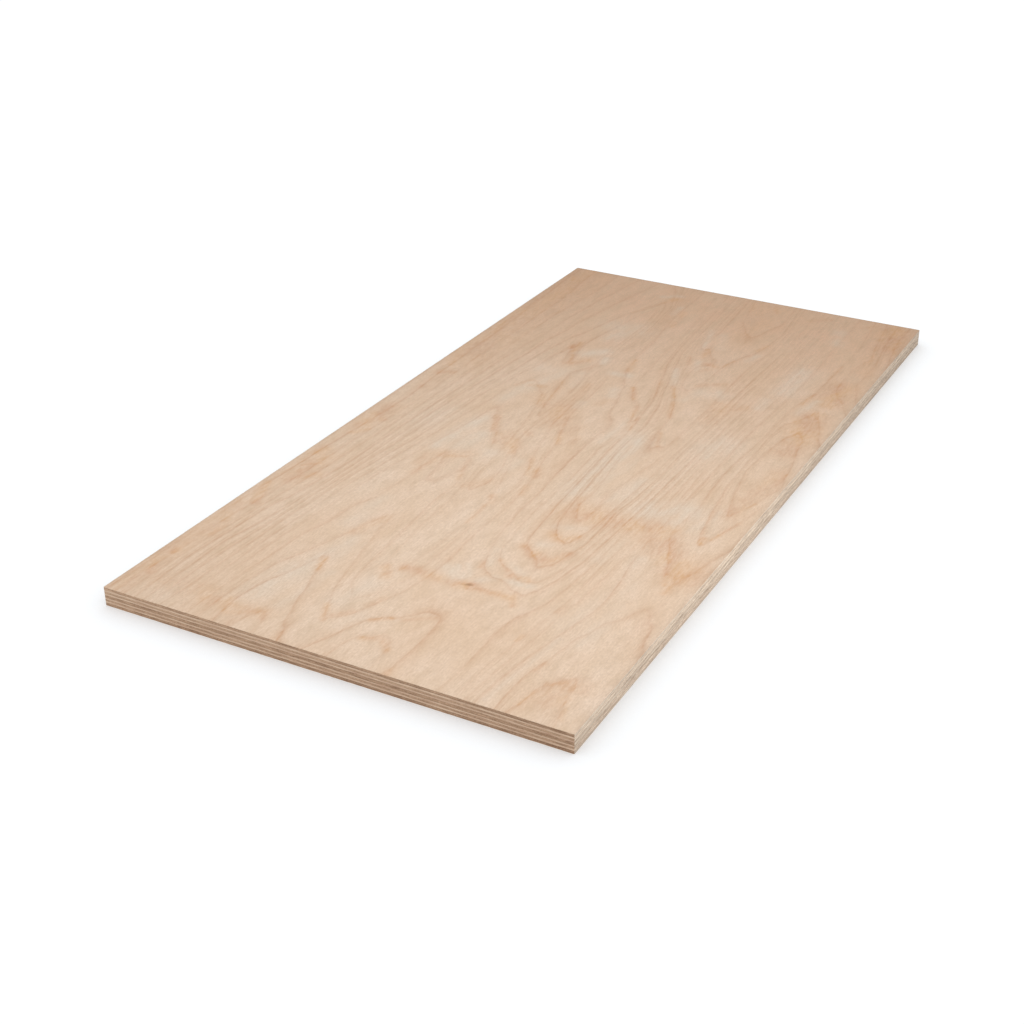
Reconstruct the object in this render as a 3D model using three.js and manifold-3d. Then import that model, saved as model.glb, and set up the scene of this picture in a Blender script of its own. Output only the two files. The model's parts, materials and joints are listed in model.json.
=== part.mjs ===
// Plywood sheet: nine rotary-cut veneers glued up crosswise.
//
// Each ply's grain runs square to that of the plies it is glued to, and the layup is the same above and
// below the core, so the sheet stays flat. The pressed sheet is sawn square on all four edges and sanded
// on both faces, which takes the sharpness off the arrises.
//
// Millimetres, +Z up. The sheet lies on its back with its face grain along Y. The origin is the middle of
// its underside.
import * as THREE from 'three';
import { mergeVertices } from 'three/addons/utils/BufferGeometryUtils.js';
import Module from 'manifold-3d';

// Driving dimensions.
const SHEET_WIDTH = 610; // along X, across the face grain
const SHEET_LENGTH = 1220; // along Y, along the face grain
const FACE_PLY = 4; // sanded thickness of the face and back veneers
const OUTER_CROSSBAND = 2.25;
const LONG_PLY = 2.25;
const INNER_CROSSBAND = 2;
const CORE_PLY = 4;
const ARRIS_RADIUS = 0.5; // left by sanding, round both faces of the sheet

const ARRIS_STEPS = 3; // facets round a quarter-round arris

// What a sawn edge or a sanded face of each kind of veneer looks like.
const FACE_WOOD = { color: 0xd9bda3, roughness: 0.55, metalness: 0 };
const LONG_WOOD = { color: 0xbf9f82, roughness: 0.7, metalness: 0 };
const CROSS_WOOD = { color: 0xd9c09c, roughness: 0.7, metalness: 0 };

// The plies on one side of the core, from the core outwards. The grain turns a quarter at each.
const PLIES_OUT_FROM_CORE = [
  { name: 'inner_crossband', thickness: INNER_CROSSBAND, wood: CROSS_WOOD },
  { name: 'long_ply', thickness: LONG_PLY, wood: LONG_WOOD },
  { name: 'outer_crossband', thickness: OUTER_CROSSBAND, wood: CROSS_WOOD },
];

const wasm = await Module();
wasm.setup();

// The sheet's rectangle, drawn in by inset on all four sides.
function sheetOutline(inset = 0) {
  const x = SHEET_WIDTH / 2 - inset;
  const y = SHEET_LENGTH / 2 - inset;
  const outline = new THREE.Shape();
  outline.moveTo(-x, -y);
  outline.lineTo(x, -y);
  outline.lineTo(x, y);
  outline.lineTo(-x, y);
  outline.closePath();
  return outline;
}

// A ply inside the sheet: the sawn outline through the ply's thickness, standing on z = 0.
function innerVeneer(thickness) {
  return new THREE.ExtrudeGeometry(sheetOutline(), { depth: thickness, bevelEnabled: false });
}

function toSolid(geometry) {
  const shell = geometry.clone();
  shell.deleteAttribute('normal');
  shell.deleteAttribute('uv');
  const merged = mergeVertices(shell);
  return new wasm.Manifold(
    new wasm.Mesh({
      numProp: 3,
      vertProperties: merged.attributes.position.array,
      triVerts: merged.index.array,
    }),
  );
}

function toGeometry(solid) {
  const mesh = solid.getMesh();
  const geometry = new THREE.BufferGeometry();
  geometry.setAttribute('position', new THREE.BufferAttribute(mesh.vertProperties, 3));
  geometry.setIndex(new THREE.BufferAttribute(mesh.triVerts, 1));
  geometry.computeVertexNormals();
  return geometry;
}

// A face or back veneer, standing on z = 0. Its outer arrises are rounded and its glued side is square, so
// it is half of a slab of twice its thickness with every arris rounded, cut at mid-thickness.
function outerVeneer(thickness, faceUp) {
  const straight = thickness - ARRIS_RADIUS;
  const slab = new THREE.ExtrudeGeometry(sheetOutline(ARRIS_RADIUS), {
    depth: 2 * straight,
    bevelThickness: ARRIS_RADIUS,
    bevelSize: ARRIS_RADIUS,
    bevelSegments: ARRIS_STEPS,
  });
  slab.translate(0, 0, -straight);
  const half = toSolid(slab).trimByPlane([0, 0, faceUp ? 1 : -1], 0);
  const veneer = toGeometry(half);
  return faceUp ? veneer : veneer.translate(0, 0, thickness);
}

function ply(name, geometry, wood) {
  const mesh = new THREE.Mesh(geometry, new THREE.MeshStandardMaterial(wood));
  mesh.name = name;
  return mesh;
}

// The whole layup, from the back veneer up to the face veneer.
const between = (side, plies) => plies.map(
  ({ name, thickness, wood }) => ply(`${side}_${name}`, innerVeneer(thickness), wood),
);
const layup = [
  ply('back_veneer', outerVeneer(FACE_PLY, false), FACE_WOOD),
  ...between('lower', PLIES_OUT_FROM_CORE.toReversed()),
  ply('core_ply', innerVeneer(CORE_PLY), LONG_WOOD),
  ...between('upper', PLIES_OUT_FROM_CORE),
  ply('face_veneer', outerVeneer(FACE_PLY, true), FACE_WOOD),
];

const sheet = new THREE.Group();
sheet.name = 'plywood_sheet';

// Each ply lies on the one below it: the glue lines have no thickness to speak of.
let level = 0;
for (const veneer of layup) {
  veneer.position.z = level;
  veneer.geometry.computeBoundingBox();
  level += veneer.geometry.boundingBox.max.z;
  sheet.add(veneer);
}

export default sheet;
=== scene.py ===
import json
import math

import bpy
import numpy as np
from mathutils import Euler, Matrix, Vector

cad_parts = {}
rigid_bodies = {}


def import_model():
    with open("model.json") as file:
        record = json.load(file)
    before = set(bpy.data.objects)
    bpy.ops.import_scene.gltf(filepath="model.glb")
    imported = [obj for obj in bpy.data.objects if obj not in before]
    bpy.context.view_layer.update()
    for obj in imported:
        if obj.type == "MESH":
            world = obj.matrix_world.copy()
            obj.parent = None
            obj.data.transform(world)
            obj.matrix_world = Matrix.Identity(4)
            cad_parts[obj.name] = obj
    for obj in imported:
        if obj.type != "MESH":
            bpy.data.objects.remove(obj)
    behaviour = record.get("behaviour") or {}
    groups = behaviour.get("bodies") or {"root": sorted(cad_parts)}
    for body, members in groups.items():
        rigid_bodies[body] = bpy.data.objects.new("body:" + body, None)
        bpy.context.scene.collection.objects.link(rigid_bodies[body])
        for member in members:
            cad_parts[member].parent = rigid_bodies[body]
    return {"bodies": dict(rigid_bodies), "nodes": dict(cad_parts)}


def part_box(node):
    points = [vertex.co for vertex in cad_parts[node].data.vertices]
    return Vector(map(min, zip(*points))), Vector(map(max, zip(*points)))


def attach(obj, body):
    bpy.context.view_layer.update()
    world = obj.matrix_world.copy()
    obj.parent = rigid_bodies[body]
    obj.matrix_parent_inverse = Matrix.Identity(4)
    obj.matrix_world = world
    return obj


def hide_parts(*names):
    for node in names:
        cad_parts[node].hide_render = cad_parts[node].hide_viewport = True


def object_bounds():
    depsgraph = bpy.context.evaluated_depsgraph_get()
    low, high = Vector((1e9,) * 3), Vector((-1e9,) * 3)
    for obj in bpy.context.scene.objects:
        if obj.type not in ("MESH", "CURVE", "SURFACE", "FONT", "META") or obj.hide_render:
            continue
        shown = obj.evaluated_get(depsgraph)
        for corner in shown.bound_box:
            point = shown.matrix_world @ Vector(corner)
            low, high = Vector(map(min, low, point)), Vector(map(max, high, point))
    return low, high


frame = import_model()
cad_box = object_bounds()

# ---- The veneers inside the sheet ----
# Seven rotary-peeled birch veneers, dried flat and glued up with the grain of each square to the next.
# The pressed stack is sawn square, so an edge shows end grain and side grain by turns, with the thin dark
# line of the glue between them.
MM = 0.001
sheet_low, sheet_high = cad_box
half_width = sheet_high.x
half_length = sheet_high.y
layup = sorted(frame["nodes"], key=lambda name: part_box(name)[0].z)

COLUMN = 3.05 * MM  # spacing of the mesh's columns round the sheet and of the grid on its faces
CORNER_RADIUS = 0.8 * MM  # the four upright corners, rubbed down with the arrises


def outline_steps(half):
    """Places along one side: both corners, and even steps between the ends of their rounding."""
    steps = round(2 * (half - CORNER_RADIUS) / COLUMN)
    even = np.linspace(CORNER_RADIUS - half, half - CORNER_RADIUS, steps + 1)
    return np.concatenate(([-half], even, [half]))


xs = outline_steps(half_width)
ys = outline_steps(half_length)
last_x = len(xs) - 1
last_y = len(ys) - 1
# The grid places round the outline, anticlockwise from the front left corner.
around = [(i, 0) for i in range(last_x)]
around += [(last_x, j) for j in range(last_y)]
around += [(i, last_y) for i in range(last_x, 0, -1)]
around += [(0, j) for j in range(last_y, 0, -1)]
around = np.array(around)
columns = len(around)
outward = (around == (last_x, last_y)) * 1.0 - (around == 0)
on_short_edge = outward[:, 0] == 0
is_corner = outward.all(1)
outward /= np.linalg.norm(outward, axis=1)[:, None]
rim = np.stack([xs[around[:, 0]], ys[around[:, 1]]], 1)
# The point at a corner is drawn in to the middle of the corner's rounding.
rim -= outward * (is_corner * (math.sqrt(2) - 1) * CORNER_RADIUS)[:, None]
run = np.concatenate(([0], np.cumsum(np.linalg.norm(np.diff(rim, axis=0), axis=1))))
perimeter = run[-1] + np.linalg.norm(rim[0] - rim[-1])


def ripple(seed, longest, shortest, count=14):
    """A smooth random curve round the outline, mostly between -1 and 1, that closes on itself."""
    random = np.random.default_rng(seed)
    total = np.zeros(columns)
    for turns in random.uniform(perimeter / longest, perimeter / shortest, count):
        phase = random.uniform(0, 2 * math.pi)
        total += np.cos(2 * math.pi * round(turns) * run / perimeter + phase)
    return total / math.sqrt(count)


PRESS_WAVE = 0.132 * MM  # how far a glue line wanders, where the press bedded the plies into each other
GLUE_SUNK = 0.08 * MM  # how far a glue line lies in from the sawn edge, and how much that varies
GLUE_SUNK_VARIES = 0.025 * MM
GLUE_BAND = 0.22 * MM  # how much wood beside a glue line the glue stains
SAW_FUZZ = 0.05 * MM  # how far the saw left the wood from one flat plane
FUZZ_VARIES = 0.8  # how much that changes along the edge, and its limit, as shares of it
FUZZ_MOST = 3
WALL_ROWS = 5  # rows of points up the sawn edge of a ply

glue_z = [np.full(columns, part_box(layup[0])[0].z)]
glue_inset = [np.zeros(columns)]
for number, name in enumerate(layup[1:], start=1):
    wave = ripple(seed=100 + number, longest=420 * MM, shortest=30 * MM)
    sinking = ripple(seed=200 + number, longest=60 * MM, shortest=9 * MM)
    glue_z.append(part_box(name)[0].z + PRESS_WAVE * wave)
    glue_inset.append(GLUE_SUNK + GLUE_SUNK_VARIES * sinking)
glue_z.append(np.full(columns, sheet_high.z))
glue_inset.append(np.zeros(columns))


def ring_at(height, inset):
    """One closed row of points round the sheet, drawn in from the sawn edge by inset."""
    flat = rim - outward * np.broadcast_to(inset, columns)[:, None]
    return np.column_stack([flat, np.broadcast_to(height, columns)])


def wall_rows(start, end, shares, seed):
    """Rows of a sawn edge at shares of the way from start to end, as rough as the saw left them."""
    rows = []
    for row, share in enumerate(shares):
        rough = 1 + FUZZ_VARIES * ripple(seed + row, longest=40 * MM, shortest=7 * MM, count=20)
        rows.append(ring_at(start + (end - start) * share, SAW_FUZZ * np.clip(rough, 0, FUZZ_MOST)))
    return rows


here = np.arange(columns)
there = np.roll(here, -1)


def wall_faces(rings):
    """Four-sided faces between rings that follow one another."""
    faces = []
    for low in range(0, (rings - 1) * columns, columns):
        high = low + columns
        faces.append(np.stack([low + here, low + there, high + there, high + here], 1))
    return np.concatenate(faces)


def fan(ring, middle, upwards):
    """Triangles that close a ring with a flat glued face, from its number and that of the middle point."""
    first, second = (here, there) if upwards else (there, here)
    return np.stack([ring * columns + first, ring * columns + second, np.full(columns, middle)], 1)


def mesh_object(name, points, quads, triangles, materials, face_materials):
    """A mesh object from arrays: quads first, then the triangles."""
    mesh = bpy.data.meshes.new(name)
    mesh.from_pydata(points.tolist(), [], quads.tolist() + triangles.tolist())
    for material in materials:
        mesh.materials.append(material)
    mesh.polygons.foreach_set("material_index", face_materials)
    mesh.update()
    piece = bpy.data.objects.new(name, mesh)
    bpy.context.scene.collection.objects.link(piece)
    return piece


def linear(hex_colour):
    """An sRGB hex colour as the linear RGBA that a shader takes."""
    channels = [int(hex_colour[k : k + 2], 16) / 255 for k in (1, 3, 5)]
    return [c / 12.92 if c <= 0.04045 else ((c + 0.055) / 1.055) ** 2.4 for c in channels] + [1.0]


def add(tree, kind, *values, output=0, **settings):
    """Adds a node with its settings and links, and gives one of its outputs.

    Each value is a number, a vector, a hex colour or another node's output. They go to the sockets in turn,
    and a dict of sockets and values names the sockets instead.
    """
    node = tree.nodes.new("ShaderNode" + kind)
    for name, value in settings.items():
        setattr(node, name, value)
    sockets = {}
    for place, value in enumerate(values):
        sockets.update(value if isinstance(value, dict) else {place: value})
    for socket, value in sockets.items():
        if isinstance(value, bpy.types.NodeSocket):
            tree.links.new(value, node.inputs[socket])
        else:
            node.inputs[socket].default_value = linear(value) if isinstance(value, str) else value
    return node.outputs[output] if node.outputs else None


# The sockets of a mix node that mixes colours, and the settings that make it one.
COLOUR_A, COLOUR_B = 6, 7
OF_COLOURS = {"data_type": "RGBA", "output": 2}


def new_material(name):
    material = bpy.data.materials.new(name)
    material.use_nodes = True
    material.node_tree.nodes.clear()
    return material, material.node_tree


GLUE_BROWN = "#6f4f38"
PLY_APART = 57  # distance between two plies in the noise, so that no two look alike


def sawn_wood(name, pale, dark, grain_length, dash_swing, ply_swing, glue_shows, roughness):
    """Sawn birch veneer: the saw tears the fibres, so it is matt and streaked, with dark glued borders."""
    material, tree = new_material(name)
    place = add(tree, "Attribute", attribute_name="sawn", output="Vector")
    glue = add(tree, "Attribute", attribute_name="glue", output="Fac")
    darkness = add(tree, "Attribute", attribute_name="tone", output="Fac")
    # Each pattern's length along the edge, height and swing of the tone. Pores and fibres are under 0.1 mm
    # wide, and are drawn as coarse as they need to show.
    patterns = [
        (grain_length, 0.9 * MM, 1.3),
        (15 * MM, 0.9 * MM, 1.3),  # torn fibres
        (13 * MM, 1.7 * MM, dash_swing),  # dashes where the saw left the ply rough
        (40 * MM, 1.1 * MM, 1.1),  # growth rings that the edge cuts through
        (70 * MM, 25 * MM, ply_swing),  # the whole ply, paler and darker along the edge
        (1.0 * MM, 0.7 * MM, 0.9),  # open pores
    ]
    for length, height, swing in patterns:
        scaled = add(tree, "Mapping", {"Vector": place, "Scale": (1 / length, 1 / height, PLY_APART)})
        noise = add(tree, "TexNoise", {"Vector": scaled, "Scale": 1.0, "Detail": 3.0})
        centred = add(tree, "Math", noise, 0.5, operation="SUBTRACT")
        darkness = add(tree, "Math", centred, swing, darkness, operation="MULTIPLY_ADD")
    limited = add(tree, "Clamp", darkness)
    wood = add(tree, "Mix", limited, {COLOUR_A: pale, COLOUR_B: dark}, **OF_COLOURS)
    soaked = add(tree, "Math", glue, glue_shows, operation="MULTIPLY")
    colour = add(tree, "Mix", soaked, {COLOUR_A: wood, COLOUR_B: GLUE_BROWN}, **OF_COLOURS)
    bump = add(tree, "Bump", {"Height": darkness, "Strength": 0.5, "Distance": 0.15 * MM})
    shader = add(tree, "BsdfPrincipled", {"Base Color": colour, "Roughness": roughness, "Normal": bump})
    add(tree, "OutputMaterial", shader)
    return material


END_FIBRES = 3 * MM  # pores and vessels cut across
SIDE_FIBRES = 45 * MM  # fibres along the edge
# Each sawn grain, with what sawn_wood takes: pale and dark wood, length of the fibres, swing of the dashes
# and of the whole ply, how much the glue shows, and roughness.
SAWN_GRAINS = {
    "long_ply_end": ("#dcb899", "#96745a", END_FIBRES, 0.9, 0.8, 0.45, 0.85),
    "long_ply_side": ("#ead9c3", "#b4a18e", SIDE_FIBRES, 1.4, 1.4, 0.95, 0.7),
    "crossband_end": ("#e6cfb8", "#9c846f", END_FIBRES, 1.5, 1.4, 0.95, 0.85),
    "crossband_side": ("#ecd0b4", "#bd967a", SIDE_FIBRES, 0.9, 0.8, 0.45, 0.7),
}
sawn = {name: sawn_wood(f"birch_{name}_grain_sawn", *values) for name, values in SAWN_GRAINS.items()}
END_GRAIN, SIDE_GRAIN, SANDED = 0, 1, 2  # where these materials stand in a ply's list

# How dark each ply looks on the short edges and on the long ones, from 0 to 1, and how much darker it
# gets from the middle of a short edge to its +X end, as painted shade.
PLY_TONE = {
    "back_veneer": (0.70, 0.90, 0.05),
    "lower_outer_crossband": (0.38, 0.29, 0.0),
    "lower_long_ply": (0.48, 0.62, 0.0),
    "lower_inner_crossband": (0.40, 0.44, 0.0),
    "core_ply": (0.60, 0.66, 0.02),
    "upper_inner_crossband": (0.42, 0.40, 0.03),
    "upper_long_ply": (0.40, 0.22, 0.07),
    "upper_outer_crossband": (0.30, 0.18, 0.06),
    "face_veneer": (0.60, 0.52, 0.14),
}
FLAT_INSET = 0.6 * MM  # inside this the glued faces are flat
MAP_GAP = 0.004  # what is left free round each part of a bake map
ROW_FILL = 0.88  # how much of its row's height a wall takes on the map


def edge_materials(walls, grain_along_y):
    """End grain or side grain, by which edge of the sheet a face is on."""
    short = on_short_edge[walls[:, :2] % columns].any(1)
    return np.where(short == grain_along_y, END_GRAIN, SIDE_GRAIN)


def distance_round(walls):
    """How far round the outline each corner of the walls is. The last column ends where the first began."""
    column = walls % columns
    closing = column.max(1) - column.min(1) > 1
    return np.where(closing[:, None] & (column == 0), perimeter, run[column])


def float_attribute(piece, name, values):
    attribute = piece.data.attributes.new(name, "FLOAT", "POINT")
    attribute.data.foreach_set("value", np.asarray(values, np.float32))


def edge_attributes(piece, number, points, walls, rings, glue_rings):
    """Stores what sawn wood takes from the mesh: the glue, the ply's tone and each place on the edge."""
    off_the_edge = np.zeros(len(points) - rings * columns)
    glue = np.zeros(rings)
    glue[glue_rings] = 1
    float_attribute(piece, "glue", np.append(np.repeat(glue, columns), off_the_edge))
    short, long, corner_shade = PLY_TONE[layup[number]]
    # the short edges darken towards their +X end as painted shade
    tone = np.where(on_short_edge, short + corner_shade * rim[:, 0] / half_width, long)
    float_attribute(piece, "tone", np.append(np.tile(tone, rings), off_the_edge))
    # The place is the distance along the edge, the height and the ply's number, at a face's corner.
    places = np.zeros((len(piece.data.loops), 3), np.float32)
    on_walls = places[: walls.size]
    on_walls[:, 0] = distance_round(walls).ravel()
    on_walls[:, 1] = (points[walls, 2] - glue_z[number][walls % columns]).ravel()
    on_walls[:, 2] = number
    attribute = piece.data.attributes.new("sawn", "FLOAT_VECTOR", "CORNER")
    attribute.data.foreach_set("vector", places.ravel())


def bake_map(piece, points, walls, flats, rows, walls_top):
    """Lays the piece out flat for baking: its walls in rows at the foot of the map, its flat sides above.

    Each flat side is the vertices of its corners, and the left and right end of its place on the map.
    """
    distance = distance_round(walls)
    ring = walls // columns
    row_length = perimeter / rows
    row = np.floor(distance.min(1) / row_length)[:, None]
    u = MAP_GAP + (1 - 2 * MAP_GAP) * (distance - row * row_length) / (row_length + 2 * COLUMN)
    v = MAP_GAP + walls_top * (row + ROW_FILL * ring / ring.max()) / rows
    laid = [np.stack([u, v], -1).reshape(-1, 2)]
    size = (2 * half_width, 2 * half_length)
    for vertices, left, right in flats:
        low = np.array([left + MAP_GAP, walls_top + MAP_GAP])
        high = np.array([right - MAP_GAP, 1 - MAP_GAP])
        laid.append(low + (high - low) * (points[vertices, :2] / size + 0.5))
    layer = piece.data.uv_layers.new(name="OFBake")
    layer.uv.foreach_set("vector", np.concatenate(laid).astype(np.float32).ravel())


def inner_ply(number):
    """A ply between the face and the back: sawn edges and two flat glued faces."""
    name = layup[number]
    grain_along = name.endswith("ply")
    glue_low, glue_high = glue_z[number], glue_z[number + 1]
    flat_low, flat_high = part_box(name)[0].z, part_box(name)[1].z
    share = GLUE_BAND / float((glue_high - glue_low).mean())
    shares = np.linspace(share, 1 - share, WALL_ROWS)
    rings = [ring_at(flat_low, FLAT_INSET), ring_at(glue_low, glue_inset[number])]
    rings += wall_rows(glue_low, glue_high, shares, seed=1000 + 20 * number)
    rings += [ring_at(glue_high, glue_inset[number + 1]), ring_at(flat_high, FLAT_INSET)]
    points = np.concatenate(rings + [[(0, 0, flat_low), (0, 0, flat_high)]])
    walls = wall_faces(len(rings))
    middle = len(rings) * columns
    bottom = fan(0, middle, upwards=False)
    top = fan(len(rings) - 1, middle + 1, upwards=True)
    kinds = np.append(edge_materials(walls, grain_along), np.full(2 * columns, SIDE_GRAIN))
    grain = "long_ply" if grain_along else "crossband"
    grains = [sawn[grain + "_end"], sawn[grain + "_side"]]
    piece = mesh_object(name + "_veneer", points, walls, np.concatenate([bottom, top]), grains, kinds)
    edge_attributes(piece, number, points, walls, len(rings), glue_rings=[1, -2])
    flats = [(bottom.ravel(), 0.0, 0.5), (top.ravel(), 0.5, 1.0)]
    bake_map(piece, points, walls, flats, rows=8, walls_top=0.4)
    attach(piece, "root")
    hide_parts(name)


for number in range(1, len(layup) - 1):
    inner_ply(number)

# ---- The face and back veneers ----
# Thicker rotary-cut birch veneers with the grain along the sheet, sanded smooth after pressing, which also
# takes the sharpness off the arrises. The knife cut slantwise through the growth rings, so they show as
# long nested arches.
grid_x, grid_y = np.meshgrid(xs, ys, indexing="ij")
across = (grid_x + half_width) / MM
along = (grid_y + half_length) / MM

# The rings that show on the face: each one's level, counted down into the log, and its points (along,
# across) in millimetres from the front left corner.
FACE_RINGS = [
    (0, [(0,243), (40,230), (80,215), (120,205), (160,191), (178,186), (150,173), (100,160), (50,153),
        (0,158)]),
    (1, [(0,208), (30,202), (45,194), (30,176), (0,172)]),
    (-1, [(0,137), (50,136), (90,138), (130,145), (165,155), (200,165), (232,175), (270,190), (296,200),
        (250,212), (200,221), (150,230), (110,241), (80,252), (60,264), (80,279), (110,293), (150,310),
        (190,318), (250,321), (320,317), (380,319), (430,315), (470,310), (500,303), (540,295), (580,290),
        (620,277), (680,264), (740,262), (800,255), (850,248), (900,246), (1000,244), (1100,238),
        (1220,230)]),
    (-2, [(0,121), (50,121), (100,123), (150,126), (200,129), (250,139), (310,143), (350,153), (400,163),
        (455,171), (420,207), (380,220), (320,230), (240,236), (190,239), (140,246), (108,266), (140,287),
        (190,302), (260,304), (330,303), (400,303), (450,302), (500,291), (530,281), (580,268), (640,256),
        (690,252), (740,250), (800,243), (880,240)]),
    (-3, [(0,107), (100,109), (200,111), (280,118), (340,122), (400,127), (480,136), (560,147), (620,157),
        (634,165), (600,181), (570,197), (545,210), (500,224), (430,237), (370,243), (290,247), (200,258),
        (170,271), (200,285), (260,291), (330,293), (380,291), (410,285), (450,276), (500,262), (550,247),
        (600,243), (650,246), (700,244)]),
    (-4, [(0,94), (60,97), (150,98), (240,103), (340,107), (440,116), (540,125), (600,129), (660,137),
        (710,142), (752,158), (740,174), (715,194), (680,206), (640,216), (560,228), (480,236), (425,243),
        (410,252), (440,264), (480,260), (530,244), (600,234), (660,236), (740,238), (800,232)]),
    (-5, [(0,82), (100,86), (240,89), (400,98), (500,108), (600,115), (680,118), (760,132), (800,140),
        (870,149), (912,155), (880,164), (838,180), (760,203), (700,214), (650,226), (700,231), (780,224),
        (860,216), (940,213), (1040,214), (1100,206), (1060,188), (1000,178), (930,168)]),
    (-6, [(0,70), (100,71), (200,76), (330,84), (430,90), (600,101), (780,116), (860,124), (920,135),
        (960,145), (1010,155), (1060,170), (1100,190), (1162,208), (1120,222), (1040,229), (960,231),
        (880,228)]),
    (-7, [(0,58), (60,58), (150,58), (200,66), (290,74), (400,80), (600,88), (800,100), (900,108), (1000,122),
        (1100,138), (1220,160)]),
    (-8, [(0,46), (100,43), (170,46), (240,50), (290,60), (400,70), (600,76), (800,82), (1000,95),
        (1220,120)]),
    (-9, [(0,33), (150,33), (300,45), (500,58), (800,62), (1000,70), (1220,80)]),
    (-10, [(0,20), (200,22), (400,38), (600,46), (900,44), (1220,40)]),
    (-11, [(0,6), (200,8), (400,18), (600,26), (900,22), (1220,10)]),
    (0, [(0,274), (40,290), (80,309), (95,325), (106,346), (119,365), (124,374), (118,381), (98,385),
        (60,388), (0,385)]),
    (1, [(0,312), (30,314), (48,322), (61,342), (48,357), (0,366)]),
    (1.6, [(0,339), (20,340)]),
    (0, [(400,338), (340,343), (285,351), (250,363), (232,388), (218,420), (213,438), (230,449), (262,457),
        (310,463), (400,468), (500,471), (600,472), (700,474), (800,474), (900,474), (1000,475), (1220,470)]),
    (0, [(400,338), (440,337), (500,332), (560,328), (620,325), (680,316), (740,304), (800,287), (850,272),
        (900,261), (1000,256), (1110,250), (1220,243)]),
    (1, [(600,348), (500,354), (400,354), (340,358), (290,364), (268,377), (252,395), (242,411), (240,424),
        (247,437), (264,447), (300,454), (400,458), (480,461), (600,463), (700,464), (800,465), (900,468),
        (1000,468), (1220,462)]),
    (1, [(600,348), (660,355), (700,346), (740,337), (770,318), (800,303), (850,296), (960,290), (1020,286),
        (1090,280), (1220,266)]),
    (2, [(690,357), (600,361), (500,367), (430,371), (360,377), (325,382), (306,391), (294,403), (287,414),
        (286,423), (293,432), (308,438), (350,447), (400,447), (440,445), (480,450), (560,454), (640,452),
        (700,454), (800,456), (860,456), (900,461), (985,463), (1100,458), (1220,452)]),
    (2, [(690,357), (730,351), (770,347), (810,336), (860,325), (900,314), (960,306), (1020,301), (1100,296),
        (1220,286)]),
    (3, [(690,372), (600,373), (520,379), (450,385), (390,392), (360,401), (347,410), (344,418), (352,428),
        (380,437), (440,440), (520,444), (620,445), (700,446), (800,447), (900,450), (1000,451), (1220,442)]),
    (3, [(690,372), (760,362), (810,347), (870,332), (920,322), (960,314), (1060,308), (1220,298)]),
    (4, [(440,394), (420,402), (408,413), (425,424), (450,418), (462,406), (440,394)]),
    (4, [(700,380), (640,380), (560,387), (505,395), (482,404), (505,416), (550,426), (620,435), (700,435),
        (800,437), (900,438), (1000,440), (1100,438), (1220,430)]),
    (4, [(700,380), (760,372), (810,356), (860,344), (900,333), (960,320), (1060,316), (1220,308)]),
    (5, [(960,327), (920,338), (890,343), (830,356), (800,370), (760,384), (730,392), (680,400), (650,408),
        (636,413), (636,420), (660,426), (740,428), (840,428), (940,424), (1010,430), (1100,430),
        (1220,420)]),
    (5, [(960,327), (1000,320), (1060,323), (1150,317), (1220,315)]),
    (6, [(1200,325), (1100,333), (1020,341), (970,350), (943,363), (938,377), (960,393), (1000,410),
        (1040,420), (1100,424), (1220,412)]),
    (7, [(1220,335), (1170,343), (1120,353), (1080,366), (1044,382), (1080,398), (1140,410), (1220,405)]),
    (7.5, [(1120,380), (1200,372)]),
    (6.5, [(985,362), (1015,372)]),
    (5.5, [(700,412), (800,400), (860,400)]),
    (-1, [(0,444), (60,447), (100,447), (130,451), (170,458), (210,470), (250,475), (300,478), (400,478),
        (500,481), (600,481), (700,482), (850,484), (1000,483), (1220,478)]),
    (-0.6, [(150,410), (60,415)]),
    (-2, [(0,470), (60,471), (130,477), (185,485), (220,489), (300,489), (400,490), (500,491), (600,490),
        (700,491), (850,493), (1000,492), (1220,486)]),
    (-3, [(0,482), (60,484), (130,490), (190,494), (240,502), (300,504), (400,502), (500,502), (600,499),
        (700,500), (850,502), (1000,502), (1220,498)]),
    (-4, [(0,494), (50,496), (100,502), (140,509), (180,517), (220,524), (250,526), (290,524), (340,519),
        (400,512), (500,511), (600,510), (700,510), (820,514), (900,517), (1040,518), (1220,516)]),
    (-5, [(0,516), (40,516), (70,518), (100,524), (155,532), (210,546), (245,566), (215,588), (170,605)]),
    (-6, [(0,530), (20,536), (50,541), (64,551), (78,564), (66,575), (40,582), (0,590)]),
    (-5, [(420,610), (380,601), (340,589), (297,577), (320,562), (355,552), (400,538), (430,532), (500,534),
        (545,526), (600,522), (640,523), (720,532), (780,533), (840,538), (905,546), (1000,546), (1100,545),
        (1220,540)]),
    (-6, [(530,603), (470,591), (430,580), (414,570), (440,562), (500,553), (575,544), (660,539), (740,538),
        (780,543), (810,556), (842,570), (820,583), (790,596), (740,604)]),
    (-7, [(600,606), (540,592), (497,573), (560,559), (630,548), (700,552), (750,557), (779,569), (750,583),
        (690,590), (620,596)]),
    (-7.7, [(580,573), (650,570), (720,570)]),
    (-6, [(850,608), (880,594), (920,577), (950,569), (1010,568), (1070,578), (1110,571), (1160,562),
        (1220,556)]),
    (-7, [(900,606), (960,590), (1050,592), (1140,580), (1220,575)]),
]
GRAIN_STRETCH = 3.0  # the figure is drawn out this much along the grain
RING_STEP = 8.0  # spacing of the places that hold the surface between a ring's points, in millimetres
MOST_STEPS = 4  # and the most steps
SOFTNESS = 0.001  # lets the surface pass a little off its places, so it stays smooth
BEND_SCALE = 1e-4  # brings the bends near the size of the places, for the solver
TINY = 1e-9  # keeps a logarithm and a division off zero


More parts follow.
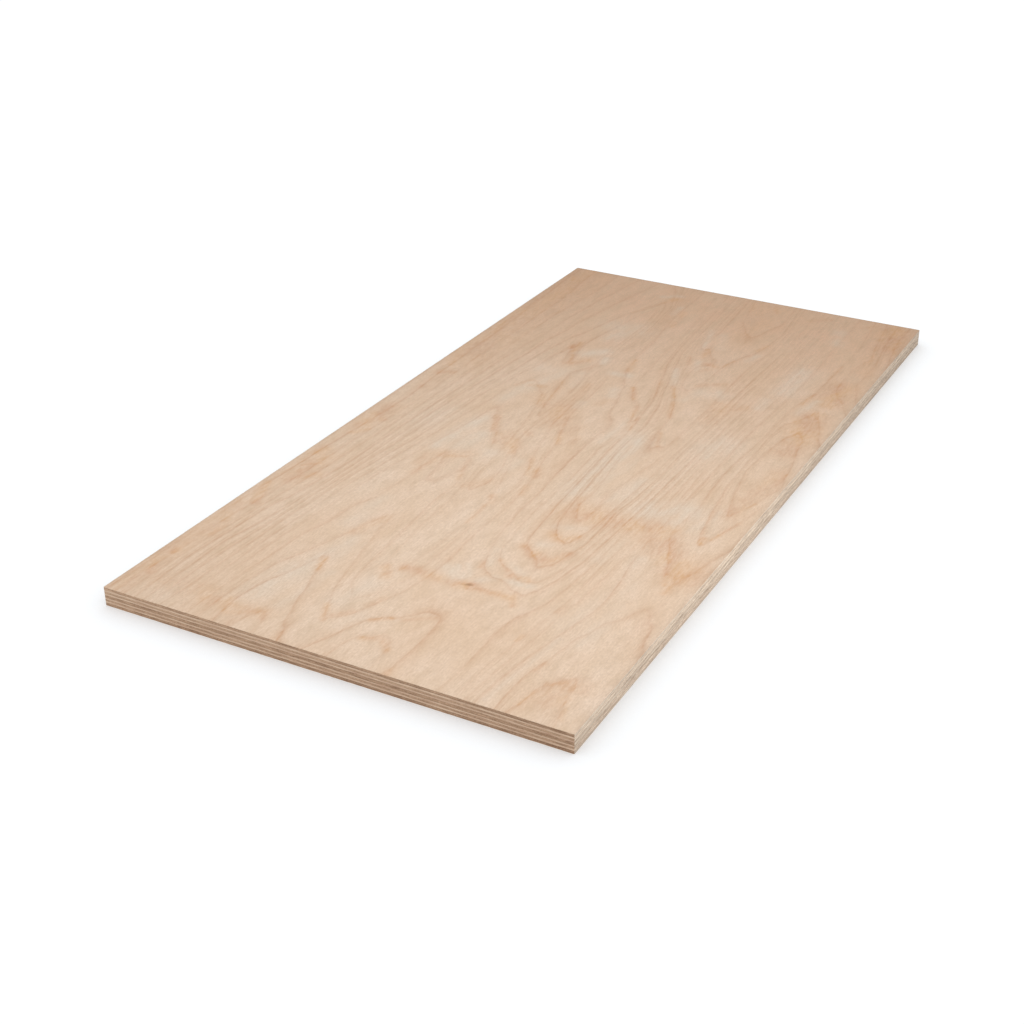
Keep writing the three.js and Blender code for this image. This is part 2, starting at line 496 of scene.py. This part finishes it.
def places_on_rings(rings):
    """The points of the rings with even steps between them, and their levels, each place once."""
    levels = {}
    for level, points in rings:
        for (b0, a0), (b1, a1) in zip(points, points[1:]):
            distance = math.hypot((b1 - b0) / GRAIN_STRETCH, a1 - a0)
            steps = min(MOST_STEPS, max(1, round(distance / RING_STEP)))
            for k in range(steps):
                levels[b0 + (b1 - b0) * k / steps, a0 + (a1 - a0) * k / steps] = level
        levels[points[-1]] = level
    places = np.array(list(levels), float)
    return places[:, 0] / GRAIN_STRETCH, places[:, 1], np.array(list(levels.values()), float)


def bend(square_distance):
    """The shape that a thin sheet takes round a place where it is held."""
    return square_distance * np.log(np.maximum(square_distance, TINY)) * BEND_SCALE


def ring_surface(rings):
    """A smooth surface over the sheet, bent like a thin plate through the rings at their levels."""
    held_b, held_a, levels = places_on_rings(rings)
    # After a weight for each place come three: the plate's height and its slopes along and across.
    count = len(levels)
    matrix = np.zeros((count + 3, count + 3))
    matrix[:count, :count] = bend((held_b[:, None] - held_b) ** 2 + (held_a[:, None] - held_a) ** 2)
    matrix[:count, :count] += SOFTNESS * np.eye(count)
    matrix[:count, count:] = np.column_stack([np.ones(count), held_b, held_a])
    matrix[count:, :count] = matrix[:count, count:].T
    weights = np.linalg.solve(matrix, np.append(levels, (0, 0, 0)))
    b = along / GRAIN_STRETCH
    surface = weights[count] + weights[count + 1] * b + weights[count + 2] * across
    for place_b, place_a, weight in zip(held_b, held_a, weights):
        surface += weight * bend((b - place_b) ** 2 + (across - place_a) ** 2)
    return surface


def waves(seed, count, wide, long, rings):
    """Random waves some rings high, of widths and lengths between two limits in millimetres."""
    random = np.random.default_rng(seed)
    total = np.zeros_like(across)
    for _ in range(count):
        ka = 2 * math.pi / random.uniform(*wide)
        kb = 2 * math.pi / random.uniform(*long) * random.choice((-1, 1))
        total += np.cos(ka * across + kb * along + random.uniform(0, 2 * math.pi))
    return rings * total / math.sqrt(count / 2)


# Brown stain left by knots, resin and bruised fibres, and pale marks between the rings, part pale wood and
# part painted sheen, as strokes from (along, across) to (along, across) with their half width and strength.
FACE_STAINS = [
    (198,357, 202,376, 10, 1.1), (200,362, 200,364, 4, 1.6), (202,369, 203,372, 4.5, 2.4),
    (194,374, 195,375, 3, 1.6), (245,362, 256,360, 4, 0.7), (200,380, 198,405, 6, 0.8),
    (200,408, 198,426, 8, 0.8), (205,428, 184,438, 4, 0.8), (201,285, 201,304, 9, 0.9),
    (198,318, 197,345, 9, 0.55), (190,262, 172,275, 9, 0.6), (313,385, 302,398, 7, 0.7),
    (300,404, 292,424, 10, 0.9), (294,428, 320,441, 7, 0.8), (354,401, 348,412, 8, 0.8),
    (346,418, 362,433, 7, 0.7), (420,402, 412,418, 9, 0.7), (424,400, 455,388, 6, 0.6),
    (243,404, 243,426, 7, 0.7), (270,376, 250,396, 4, 0.5), (415,400, 425,520, 24, 0.62),
    (400,525, 335,585, 26, 0.75), (330,590, 350,600, 24, 0.6), (60,264, 90,250, 4, 0.7),
    (0,16, 240,14, 16, 0.4), (325,28, 400,32, 17, 0.5), (510,22, 575,24, 16, 0.7), (660,30, 730,30, 12, 0.3),
    (820,22, 900,26, 18, 0.6), (1000,30, 1100,34, 16, 0.4), (800,20, 1220,30, 45, 0.5),
    (45,40, 50,110, 18, 0.3), (35,120, 38,195, 12, 0.5), (480,165, 500,200, 12, 0.35),
    (545,240, 570,215, 16, 0.55), (640,262, 690,245, 20, 0.5), (690,205, 710,200, 12, 0.4),
    (600,285, 640,290, 14, 0.4), (775,445, 800,448, 22, 0.35), (40,560, 75,575, 18, 0.5),
    (500,575, 640,588, 14, 0.5), (700,575, 760,580, 18, 0.7), (765,575, 825,570, 22, 0.95),
    (880,575, 945,572, 20, 0.85), (1010,585, 1100,575, 18, 0.35), (1120,590, 1200,575, 25, 0.85),
    (1050,375, 1200,360, 25, 0.3), (72,268, 90,283, 5, 0.5), (110,293, 130,299, 5, 0.35),
    (22,156, 50,145, 4, 0.6), (24,160, 38,186, 6, 0.7), (44,194, 30,202, 5, 0.5), (148,196, 175,187, 5, 0.7),
    (0,240, 16,237, 5, 0.5), (242,182, 292,199, 8, 0.4), (48,324, 58,342, 5, 0.7), (56,346, 40,361, 5, 0.7),
    (84,312, 98,330, 4, 0.7), (102,344, 122,374, 4, 0.5), (0,384, 8,384, 6, 0.5), (66,546, 78,563, 5, 0.6),
    (66,574, 15,587, 3, 0.5), (50,540, 20,535, 3, 0.5), (82,522, 98,525, 4, 0.4), (124,476, 136,477, 3, 0.5),
    (196,489, 212,491, 4, 0.4), (102,19, 112,17, 7, 1.2), (52,25, 74,14, 7, 1.0), (160,32, 200,24, 8, 0.6),
    (250,28, 300,12, 8, 0.8), (325,30, 352,52, 9, 0.7), (345,30, 352,28, 7, 0.8), (366,22, 380,38, 5, 1.0),
    (405,15, 420,20, 11, 0.7), (480,24, 500,36, 6, 0.7), (535,35, 560,20, 10, 0.7), (715,22, 722,36, 9, 0.8),
    (750,24, 780,14, 8, 0.6), (850,20, 880,24, 10, 0.6), (890,14, 960,12, 8, 0.8), (1010,18, 1100,14, 7, 0.4),
    (1160,22, 1180,14, 6, 0.9), (1195,38, 1195,62, 9, 0.5), (418,162, 462,168, 6, 0.4),
    (440,152, 470,150, 6, 0.4), (482,180, 490,200, 6, 0.6), (484,208, 428,222, 5, 0.4),
    (415,240, 444,262, 8, 0.3), (332,294, 382,291, 4, 0.5), (390,294, 408,286, 6, 0.6),
    (480,310, 502,302, 6, 0.7), (480,298, 530,281, 3, 0.5), (430,318, 450,314, 6, 0.4),
    (575,194, 622,176, 5, 0.7), (545,212, 572,199, 6, 0.5), (528,249, 566,236, 6, 0.7),
    (588,243, 594,238, 7, 0.5), (582,291, 622,276, 4, 0.8), (590,306, 612,305, 7, 0.4),
    (650,252, 690,254, 6, 0.6), (682,216, 696,208, 9, 0.6), (700,214, 770,200, 6, 0.4),
    (738,168, 742,184, 7, 0.5), (728,148, 756,158, 4, 0.4), (700,245, 780,240, 5, 0.3),
    (725,283, 742,288, 8, 0.4), (895,154, 902,154, 6, 1), (878,164, 918,157, 4, 0.8),
    (838,181, 860,198, 8, 0.7), (842,178, 872,167, 3, 0.6), (1075,176, 1140,203, 4, 0.4),
    (1152,209, 1160,212, 7, 0.7), (1160,222, 1162,228, 9, 0.3), (852,270, 895,263, 5, 0.6),
    (1046,257, 1066,254, 5, 0.6), (1080,254, 1112,249, 4, 0.5), (766,320, 800,303, 4, 0.9),
    (742,336, 690,348, 5, 0.5), (668,358, 710,352, 3, 0.7), (680,400, 640,413, 3, 0.8),
    (730,391, 780,375, 4, 0.6), (796,370, 832,353, 4, 0.7), (790,345, 840,330, 4, 0.4),
    (920,340, 945,331, 5, 0.4), (955,349, 985,345, 5, 0.5), (928,378, 934,364, 7, 0.7),
    (905,368, 915,374, 6, 0.4), (1016,412, 1042,420, 4, 0.5), (935,390, 960,397, 4, 0.4),
    (852,386, 864,396, 6, 0.5), (866,404, 874,416, 7, 0.5), (1050,378, 1180,342, 4, 0.35),
    (745,440, 815,434, 11, 0.4), (748,452, 790,452, 12, 0.2), (800,462, 812,474, 9, 0.5),
    (308,571, 350,554, 4, 0.8), (292,578, 306,580, 6, 0.6), (350,552, 425,532, 3, 0.6),
    (320,584, 365,596, 3, 0.5), (418,570, 432,568, 5, 0.9), (432,579, 490,594, 3, 0.6),
    (440,563, 500,554, 3, 0.5), (600,595, 640,598, 4, 0.7), (530,585, 545,593, 4, 0.5),
    (728,570, 738,560, 5, 0.6), (766,560, 776,574, 6, 0.8), (800,553, 836,566, 4, 0.7),
    (828,566, 830,572, 8, 0.8), (832,580, 792,595, 4, 0.6), (890,590, 942,568, 4, 0.7),
    (1050,580, 1084,578, 6, 0.5), (1084,577, 1116,567, 4, 0.5), (1150,580, 1200,593, 6, 0.6),
    (1150,570, 1200,552, 3, 0.5), (860,541, 905,547, 3, 0.6), (1175,448, 1195,470, 8, 0.4),
    (1180,382, 1205,372, 7, 0.6), (1165,345, 1205,336, 6, 0.4), (1185,528, 1205,548, 5, 0.4),
    (960,545, 1020,549, 3, 0.4),
]
FACE_PALE = [
    (212,354, 236,336, 3, 1.0), (205,347, 222,330, 3, 0.9), (220,362, 244,346, 3, 0.6),
    (75,165, 140,172, 20, 0.8), (150,175, 230,195, 11, 0.7), (60,203, 150,214, 8, 0.6),
    (100,256, 160,270, 12, 0.5), (55,286, 90,300, 8, 0.5), (225,325, 214,350, 11, 1.1),
    (214,376, 228,388, 8, 1.0), (231,408, 232,440, 7, 1.0), (254,368, 290,360, 5, 0.5),
    (264,392, 252,412, 7, 0.7), (325,400, 330,416, 8, 0.8), (374,396, 384,430, 8, 0.7),
    (325,480, 380,482, 11, 0.7), (300,525, 350,521, 8, 0.6), (456,480, 454,522, 16, 1.1),
    (465,424, 540,440, 8, 0.6), (440,546, 500,562, 8, 0.6), (500,145, 605,158, 12, 1.1),
    (500,176, 560,182, 12, 0.8), (512,226, 518,224, 10, 0.7), (480,265, 510,272, 9, 0.6),
    (465,379, 600,374, 6, 0.8), (540,404, 610,410, 8, 0.6), (260,165, 340,165, 11, 0.6),
    (150,545, 240,546, 12, 0.6), (10,500, 150,516, 4, 0.6), (670,150, 740,166, 14, 0.8),
    (750,172, 805,190, 12, 0.7), (765,220, 812,214, 10, 0.6), (880,178, 902,206, 12, 1.0),
    (862,222, 880,220, 8, 0.7), (834,255, 836,276, 9, 0.9), (700,260, 718,260, 7, 0.9),
    (762,290, 782,282, 9, 0.7), (838,351, 892,330, 6, 0.8), (905,356, 935,349, 5, 0.8),
    (980,336, 1060,320, 5, 0.55), (820,432, 842,420, 10, 0.7), (972,413, 1000,421, 6, 0.6),
    (795,384, 830,394, 9, 0.5), (818,490, 852,490, 7, 1.0), (896,494, 985,501, 4, 0.8),
    (640,485, 705,490, 10, 0.8), (828,548, 880,556, 7, 0.9), (880,520, 905,530, 9, 0.5),
    (960,190, 1020,212, 18, 0.6), (1095,236, 1130,236, 5, 0.6), (1160,190, 1176,216, 7, 0.5),
    (612,340, 700,343, 4, 0.6), (1000,360, 1050,345, 9, 0.35), (1150,500, 1100,512, 12, 0.5),
    (560,90, 600,110, 30, 0.45), (1000,160, 1000,220, 25, 0.45), (800,150, 805,195, 16, 0.5),
    (470,375, 640,385, 26, 1.1), (465,485, 490,525, 26, 1.4), (660,480, 690,500, 24, 0.55),
    (890,505, 970,510, 20, 0.6), (180,500, 270,540, 25, 0.4), (190,190, 225,200, 14, 0.6),
    (830,395, 835,430, 14, 0.5), (470,430, 520,440, 18, 0.45),
]
BACK_STAINS = [
    (430,180, 436,181, 6, 1.2), (430,160, 432,215, 8, 0.6), (900,420, 940,426, 9, 0.6),
]
BACK_PALE = [
    (450,190, 480,230, 14, 0.8), (200,320, 320,330, 20, 0.6), (700,250, 860,290, 16, 0.7),
]


def brushed(strokes):
    """How strongly each place is coloured: soft strokes, each from one place to another."""
    total = np.zeros_like(across)
    for b0, a0, b1, a1, half, strength in strokes:
        length = max((b1 - b0) ** 2 + (a1 - a0) ** 2, TINY)
        share = np.clip(((along - b0) * (b1 - b0) + (across - a0) * (a1 - a0)) / length, 0, 1)
        off_b = along - b0 - share * (b1 - b0)
        off_a = across - a0 - share * (a1 - a0)
        total = np.maximum(total, strength * np.exp(-(off_b**2 + off_a**2) / half**2))
    return total


def face_figure():
    """The face's ring surface, stain, and pale marks that are part pale wood, part painted sheen. Small waves
    keep its lines from running too true.
    """
    depth = ring_surface(FACE_RINGS)
    depth += waves(seed=3, count=14, wide=(37, 146), long=(160, 900), rings=0.06)
    depth += waves(seed=4, count=16, wide=(11, 37), long=(55, 300), rings=0.02)
    return depth, brushed(FACE_STAINS), brushed(FACE_PALE)


ARCH_MIDDLE = 300  # where the back's arches run, their half width and how far they wander, in millimetres
ARCH_HALF_WIDTH = 150
ARCH_WANDER = 30
ARCH_BEND = 400  # how slowly they wander along the sheet, in millimetres
ARCH_RINGS = 9  # how many rings they stand above their flanks
RING_ALONG, RING_ACROSS = 75, 90  # spacing of the other rings, in millimetres


def back_figure():
    """The back's ring surface, stain and pale wood: a plain run of arches."""
    middle = ARCH_MIDDLE + ARCH_WANDER * np.sin(along / ARCH_BEND)
    arches = ARCH_RINGS * np.exp(-(((across - middle) / ARCH_HALF_WIDTH) ** 2))
    depth = along / RING_ALONG + arches + across / RING_ACROSS
    depth += waves(seed=13, count=14, wide=(60, 200), long=(200, 1200), rings=0.3)
    depth += waves(seed=14, count=16, wide=(11, 37), long=(55, 300), rings=0.03)
    return depth, brushed(BACK_STAINS), brushed(BACK_PALE)


# Width and length in millimetres of the streaks that the sanded veneer's patterns are made of. Its fibres
# are under 0.1 mm wide, and are drawn as coarse as they need to show.
STREAKS = {
    "ragged": (2.6, 60), "fibre": (1.3, 25), "fleck": (1.8, 4.5), "speckle": (4, 14),
    "mottle": (12, 35), "patch": (26, 60), "fade": (60, 180), "cloud": (70, 200),
}
BROAD = 10  # streaks wider than this are soft
RAGGED = 1.4  # how far the fibres push a ring's line about, in millimetres
# What each pattern takes: its streaks, the range of their noise that counts, and what it comes to.
PATTERNS = {
    "fade": ("fade", 0.35, 0.65, 0.35, 1), "smudge": ("speckle", 0.35, 0.65, 0.65, 1),
    "broken": ("speckle", 0.35, 0.65, 0.45, 1), "reddish": ("patch", 0.4, 0.6, 0, 1),
    "pale": ("mottle", 0.3, 0.6, 0.3, 0.75), "patch": ("patch", 0.3, 0.7, 0, 0.4),
    "mottle": ("mottle", 0.45, 0.75, 0, 0.24), "speckle": ("speckle", 0.45, 0.75, 0, 0.2),
    "fleck": ("fleck", 0.3, 0.7, 0, 0.45), "fibre": ("fibre", 0.3, 0.7, 0, 0.32),
    "cloud": ("cloud", 0.35, 0.65, 0, 0.25), "ragged": ("ragged", 0, 1, -RAGGED, RAGGED),
}
LEAST_SLOPE = 0.004  # the least that a line is drawn for, in rings to a millimetre
LINE_WIDTH = 0.6  # width of a ring's line: millimetres, a share of the ring's width, and millimetres at most
LINE_SHARE = 0.07
LINE_WIDEST = 9
LINE_FALL = 2.5  # how many times as quickly a line falls as it rises
LINE_STRENGTH = 0.62
ZONE_WIDTH = 5  # the wide warm zone before a line, in widths of the line
ZONE_STRENGTH = 0.18
FALSE_RINGS = 2  # fainter lines in each ring, from dry spells within a year
FALSE_STRENGTH = 0.28
STAIN_ON_LINE = 0.25  # how much more stain colours a line than the wood beside it
STAIN_BESIDE = 0.48
STAIN_FULL = 0.5  # the most that it colours either


def sanded_face():
    """Sanded birch veneer: smooth and nearly matt, so that its rings, stain and soft clouds show plainly."""
    material, tree = new_material("birch_face_veneer_sanded")
    place = add(tree, "TexCoord", output="Object")
    stored = ("ring_depth", "ring_slope", "stain", "pale", "far_brown_and_shade", "edge_shade")
    depth, slope, stained, paled, tinge, edge_shade = (
        add(tree, "Attribute", attribute_name=name, output="Fac") for name in stored
    )
    noise = {}
    for name, (width, length) in STREAKS.items():
        scaled = add(tree, "Mapping", {"Vector": place, "Scale": (1 / (width * MM), 1 / (length * MM), 1)})
        detail = 1.0 if width > BROAD else 3.0
        noise[name] = add(tree, "TexNoise", {"Vector": scaled, "Scale": 1.0, "Detail": detail})
    amount = {}
    for name, (streaks, low, high, least, most) in PATTERNS.items():
        limits = {"From Min": low, "From Max": high, "To Min": least, "To Max": most}
        amount[name] = add(tree, "MapRange", noise[streaks], limits)

    # Each ring ends in a line that rises slowly and falls quickly, its edges ragged by the fibres.
    level = add(tree, "Math", amount["ragged"], slope, depth, operation="MULTIPLY_ADD")
    ring = add(tree, "Math", level, operation="FRACT")
    steep = add(tree, "Math", slope, LEAST_SLOPE, operation="MAXIMUM")
    usual = add(tree, "Math", steep, LINE_WIDTH, LINE_SHARE, operation="MULTIPLY_ADD")
    widest = add(tree, "Math", steep, LINE_WIDEST, operation="MULTIPLY")
    share = add(tree, "Math", usual, widest, operation="MINIMUM")
    to_end = add(tree, "Math", ring, 1.0, operation="SUBTRACT")
    fades = []
    for distance, rate in ((to_end, 1.0), (to_end, 1 / ZONE_WIDTH), (ring, -LINE_FALL)):
        widths = add(tree, "Math", distance, share, operation="DIVIDE")
        scaled = add(tree, "Math", widths, rate, operation="MULTIPLY")
        fades.append(add(tree, "Math", scaled, operation="EXPONENT"))
    rise, zone, fall = fades
    line = add(tree, "Math", rise, fall, operation="MAXIMUM")

    # How plain the rings are: each has its own strength, fades and smudges along its way, and is less
    # clear towards the far end, where the veneer is painted browner and darker.
    nearest = add(tree, "Math", level, 0.5, operation="ADD")
    number = add(tree, "Math", nearest, operation="FLOOR")
    chance = add(tree, "TexWhiteNoise", {"W": number}, noise_dimensions="1D", output="Value")
    plain = add(tree, "MapRange", chance, {"To Min": 0.45})
    clear = add(tree, "MapRange", tinge, {"To Min": 1.0, "To Max": 0.4})
    for factor in (clear, amount["fade"], amount["smudge"]):
        plain = add(tree, "Math", plain, factor, operation="MULTIPLY")

    # The fainter lines show where the rings lie under 14 mm apart, and are gone by 33 mm.
    turn = add(tree, "Math", level, 2 * math.pi * FALSE_RINGS, operation="MULTIPLY")
    swing = add(tree, "Math", turn, operation="SINE")
    false_line = add(tree, "MapRange", swing, {"From Min": 0.2, "To Max": FALSE_STRENGTH})
    close_rings = add(tree, "MapRange", slope, {"From Min": 0.03, "From Max": 0.07})
    drawn = []
    for shape, strength in ((zone, ZONE_STRENGTH), (false_line, close_rings), (line, LINE_STRENGTH)):
        shown = add(tree, "Math", shape, plain, operation="MULTIPLY")
        drawn.append(add(tree, "Math", shown, strength, operation="MULTIPLY"))
    zone_drawn, false_drawn, line_drawn = drawn

    # Stain is blotchy, a little deeper in a ring's line, and darkens to a pin at the heart of a knot.
    soaked = add(tree, "Math", stained, amount["broken"], operation="MULTIPLY")
    taken = add(tree, "Math", line, STAIN_ON_LINE, STAIN_BESIDE, operation="MULTIPLY_ADD")
    stain_taken = add(tree, "Math", soaked, taken, operation="MULTIPLY")
    stain_shown = add(tree, "Math", stain_taken, STAIN_FULL, operation="MINIMUM")
    browns = {COLOUR_A: "#d39b59", COLOUR_B: "#c98c61"}
    stain_colour = add(tree, "Mix", amount["reddish"], browns, **OF_COLOURS)
    pin = add(tree, "MapRange", stained, {"From Min": 1.2, "From Max": 2.4, "To Max": 0.6})

    pale_shown = add(tree, "Math", paled, amount["pale"], operation="MULTIPLY")
    layers = [
        # first layer: the far end browner and darker, part wood tone and part painted shade of the light's
        # falloff
        (tinge, "#e9a879"), (amount["patch"], "#e4c8a9"), (amount["mottle"], "#b99c79"),
        # the pale layer: part pale wood, part painted sheen between the rings
        (amount["speckle"], "#b99c7c"), (pale_shown, "#f0e4d4"), (amount["fleck"], "#c0aa94"),
        (amount["fibre"], "#c9ab8d"), (amount["cloud"], "#dab48f"), (zone_drawn, "#cf9f72"),
        (false_drawn, "#b08560"), (line_drawn, "#b8835c"), (stain_shown, stain_colour),
        # last layer: painted shade along the long borders and the far one
        (pin, "#7f5630"), (edge_shade, "#9a8472"),
    ]
    colour = "#f8dfc8"
    for cover, shade in layers:
        colour = add(tree, "Mix", cover, {COLOUR_A: colour, COLOUR_B: shade}, **OF_COLOURS)
    bump = add(tree, "Bump", {"Height": noise["fibre"], "Strength": 0.2, "Distance": 0.05 * MM})
    shader = add(tree, "BsdfPrincipled", {"Base Color": colour, "Roughness": 0.62, "Normal": bump})
    add(tree, "OutputMaterial", shader)
    return material


sanded = sanded_face()

ARRIS = 0.5 * MM  # radius of the arrises, how much it varies as a share of it, and its limits
ARRIS_VARIES = 0.25
ARRIS_LEAST = 0.3 * MM
ARRIS_MOST = 0.75 * MM
ARRIS_STEPS = 4  # rows of faces round an arris
FAR_BROWN_AND_SHADE = 0.55  # far end browner and darker: part wood tone, part painted shade of light falloff
TINGE_FROM = 0.4  # where that starts and over how much of the sheet it grows, as shares of the length
TINGE_OVER = 0.52
TINGE_CURVE = 1.5  # above 1, so it comes on gently
EDGE_SHADE = 0.19  # painted shade: how much darker the long borders and the far one are
EDGE_SHADE_REACH = 3.5  # and how soon that fades inwards, in millimetres
FACE_ON_MAP = 0.94  # how much of the bake map's width the sanded face takes


def outer_ply(number, figure):
    """The face or back veneer: sawn walls, rounded arrises and a finely divided sanded face."""
    name = layup[number]
    face_up = number > 0
    outwards = 1 if face_up else -1
    surface = sheet_high.z if face_up else sheet_low.z
    flat_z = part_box(name)[0].z if face_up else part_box(name)[1].z
    glue_line = number if face_up else number + 1
    glued_at = glue_z[glue_line]
    arris = ARRIS * (1 + ARRIS_VARIES * ripple(seed=700 + number, longest=90 * MM, shortest=8 * MM))
    arris = np.clip(arris, ARRIS_LEAST, ARRIS_MOST)
    arris_at = surface - outwards * arris  # where the sawn edge ends
    shares = np.linspace(GLUE_BAND / abs(surface - float(glued_at.mean())), 1, WALL_ROWS)
    rings = [ring_at(flat_z, FLAT_INSET), ring_at(glued_at, glue_inset[glue_line])]
    rings += wall_rows(glued_at, arris_at, shares[:-1], seed=1500 + 20 * number)
    for angle in np.linspace(0, math.pi / 2, ARRIS_STEPS + 1):
        rings.append(ring_at(arris_at + outwards * arris * math.sin(angle), arris * (1 - math.cos(angle))))

    # The sanded face is a grid inside the last ring, whose points are its border.
    inside = np.zeros(grid_x.shape, bool)
    inside[1:-1, 1:-1] = True
    wall_points = len(rings) * columns
    index = np.zeros(inside.shape, int)
    index[around[:, 0], around[:, 1]] = wall_points - columns + np.arange(columns)
    index[inside] = wall_points + np.arange(inside.sum())
    grid_points = np.column_stack([grid_x[inside], grid_y[inside], np.full(inside.sum(), surface)])
    corners = [index[:-1, :-1], index[1:, :-1], index[1:, 1:], index[:-1, 1:]]
    grid = np.stack([corner.ravel() for corner in corners], 1)
    walls = wall_faces(len(rings))
    if not face_up:
        walls, grid = walls[:, ::-1], grid[:, ::-1]
    points = np.concatenate(rings + [grid_points, [(0, 0, flat_z)]])
    glued_face = fan(0, len(points) - 1, upwards=not face_up)

    wall_kinds = edge_materials(walls, grain_along_y=True)
    wall_kinds[-ARRIS_STEPS * columns :] = SANDED
    kinds = np.concatenate([wall_kinds, np.full(len(grid), SANDED), np.full(columns, SIDE_GRAIN)])
    grains = [sawn["long_ply_end"], sawn["long_ply_side"], sanded]
    piece = mesh_object(name + "_sheet", points, np.concatenate([walls, grid]), glued_face, grains, kinds)
    edge_attributes(piece, number, points, walls, len(rings), glue_rings=[1])

    depth, stained, paled = figure()
    rise_across, rise_along = np.gradient(depth, xs / MM, ys / MM)
    tinge_share = np.clip((along / along.max() - TINGE_FROM) / TINGE_OVER, 0, 1)
    to_border = np.minimum(np.minimum(across, across.max() - across), along.max() - along)
    stored = {
        "ring_depth": depth,
        "ring_slope": np.hypot(rise_across, rise_along),
        "stain": stained,
        "pale": paled,
        "far_brown_and_shade": FAR_BROWN_AND_SHADE * tinge_share**TINGE_CURVE,
        "edge_shade": EDGE_SHADE * np.exp(-to_border / EDGE_SHADE_REACH),
    }
    for attribute, values in stored.items():
        border = np.tile(values[around[:, 0], around[:, 1]], len(rings))
        float_attribute(piece, attribute, np.concatenate([border, values[inside], [0]]))
    flats = [(grid.ravel(), 0.0, FACE_ON_MAP), (glued_face.ravel(), FACE_ON_MAP, 1.0)]
    bake_map(piece, points, walls, flats, rows=4, walls_top=0.15)
    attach(piece, "root")
    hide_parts(name)


outer_ply(0, back_figure)
outer_ply(len(layup) - 1, face_figure)

# ---- The studio: floor, lamps and camera ----
# A white paper sweep under an even white sky. The softboxes light the sheet alone, so the paper stays
# white and keeps the sheet's soft contact shadow; the paper's own glow stands for their light on it.
SKY = 0.53  # brightness of the even white sky
PAPER_GLOW = 0.5  # light that the softboxes would bounce off the paper
PAPER_COOL = "#f5faff"  # the paper as the camera sees it
PAPER_WHITE = 1.08  # brightness of the open paper
CONTACT_REACH = 0.06  # how far the shade beside the sheet reaches, in metres
CONTACT_SHADE = 0.5  # how much of the light it takes
FLOOR_HALF = 30.0  # half the floor's side, in metres


def white_paper():
    """Smooth matt paper: no gloss, only the soft shade beside the sheet. The camera sees it cooler."""
    material, tree = new_material("white_paper")
    seen_by_camera = add(tree, "LightPath", output="Is Camera Ray")
    open_share = add(tree, "AmbientOcclusion", {"Distance": CONTACT_REACH}, output="AO")
    shade = add(tree, "MapRange", open_share, {"To Min": 1 - CONTACT_SHADE})
    paper = add(tree, "BsdfDiffuse", "#f2f2f2")
    glow_strength = add(tree, "Math", shade, PAPER_GLOW, operation="MULTIPLY")
    glow = add(tree, "Emission", {"Strength": glow_strength})
    bounced = add(tree, "AddShader", paper, glow)
    seen_colour = add(tree, "Mix", shade, {COLOUR_A: "#000000", COLOUR_B: PAPER_COOL}, **OF_COLOURS)
    seen_paper = add(tree, "BsdfDiffuse", seen_colour)
    lift_strength = add(tree, "Math", shade, PAPER_WHITE - SKY, operation="MULTIPLY")
    lift = add(tree, "Emission", {"Strength": lift_strength})
    seen = add(tree, "AddShader", seen_paper, lift)
    either = add(tree, "MixShader", seen_by_camera, bounced, seen)
    add(tree, "OutputMaterial", either)
    return material


floor_mesh = bpy.data.meshes.new("paper_floor")
corners = [(x * FLOOR_HALF, y * FLOOR_HALF, 0) for x, y in ((-1, -1), (1, -1), (1, 1), (-1, 1))]
floor_mesh.from_pydata(corners, [], [(0, 1, 2, 3)])
floor_mesh.materials.append(white_paper())
floor = bpy.data.objects.new("paper_floor", floor_mesh)
bpy.context.scene.collection.objects.link(floor)

world = bpy.data.worlds.new("white_studio")
bpy.context.scene.world = world
world.use_nodes = True
tree = world.node_tree
tree.nodes.clear()
seen_by_camera = add(tree, "LightPath", output="Is Camera Ray")
soft = add(tree, "Background", {"Strength": SKY, "Color": "#ffffff"})
white = add(tree, "Background", {"Strength": 1.0, "Color": "#ffffff"})
either = add(tree, "MixShader", seen_by_camera, soft, white)
add(tree, "OutputWorld", either)

lit_by_softboxes = bpy.data.collections.new("lit_by_softboxes")
for piece in frame["bodies"]["root"].children:
    if not piece.hide_render:
        lit_by_softboxes.objects.link(piece)


def softbox(name, place, aim, size, power):
    """A square lamp, turned from its place to its aim, in metres."""
    lamp = bpy.data.lights.new(name, "AREA")
    lamp.shape = "SQUARE"
    lamp.size = size
    lamp.energy = power
    box = bpy.data.objects.new(name, lamp)
    bpy.context.scene.collection.objects.link(box)
    box.location = place
    box.rotation_euler = (Vector(aim) - Vector(place)).to_track_quat("-Z", "Y").to_euler()
    box.light_linking.receiver_collection = lit_by_softboxes
    box.visible_camera = False


softbox("overhead_softbox", place=(0.16, -0.42, 1.35), aim=(0.0, -0.2, 0), size=0.7, power=9.5)
softbox("side_softbox", place=(0.95, -0.22, 0.1), aim=(0.3, -0.22, 0.04), size=0.16, power=1.55)

# The camera looks back and to the left from beyond the near corner, 28 degrees down. Its frame of 1024
# pixels is moved 40 of them to the left.
CAMERA_DOWN, CAMERA_TURN, CAMERA_ROLL = np.radians((28.453, 27.318, 0.347))
camera_data = bpy.data.cameras.new("camera")
camera_data.sensor_width = 36
camera_data.lens = 56.762
camera_data.shift_x = -40 / 1024
camera_data.clip_end = 100
camera = bpy.data.objects.new("camera", camera_data)
bpy.context.scene.collection.objects.link(camera)
camera.location = (0.8880, -1.7913, 0.9923)
look = Euler((math.pi / 2 - CAMERA_DOWN, 0, CAMERA_TURN)).to_matrix()
camera.rotation_euler = (look @ Matrix.Rotation(CAMERA_ROLL, 3, "Z")).to_euler()
bpy.context.scene.camera = camera

bpy.context.scene.view_settings.view_transform = "Standard"
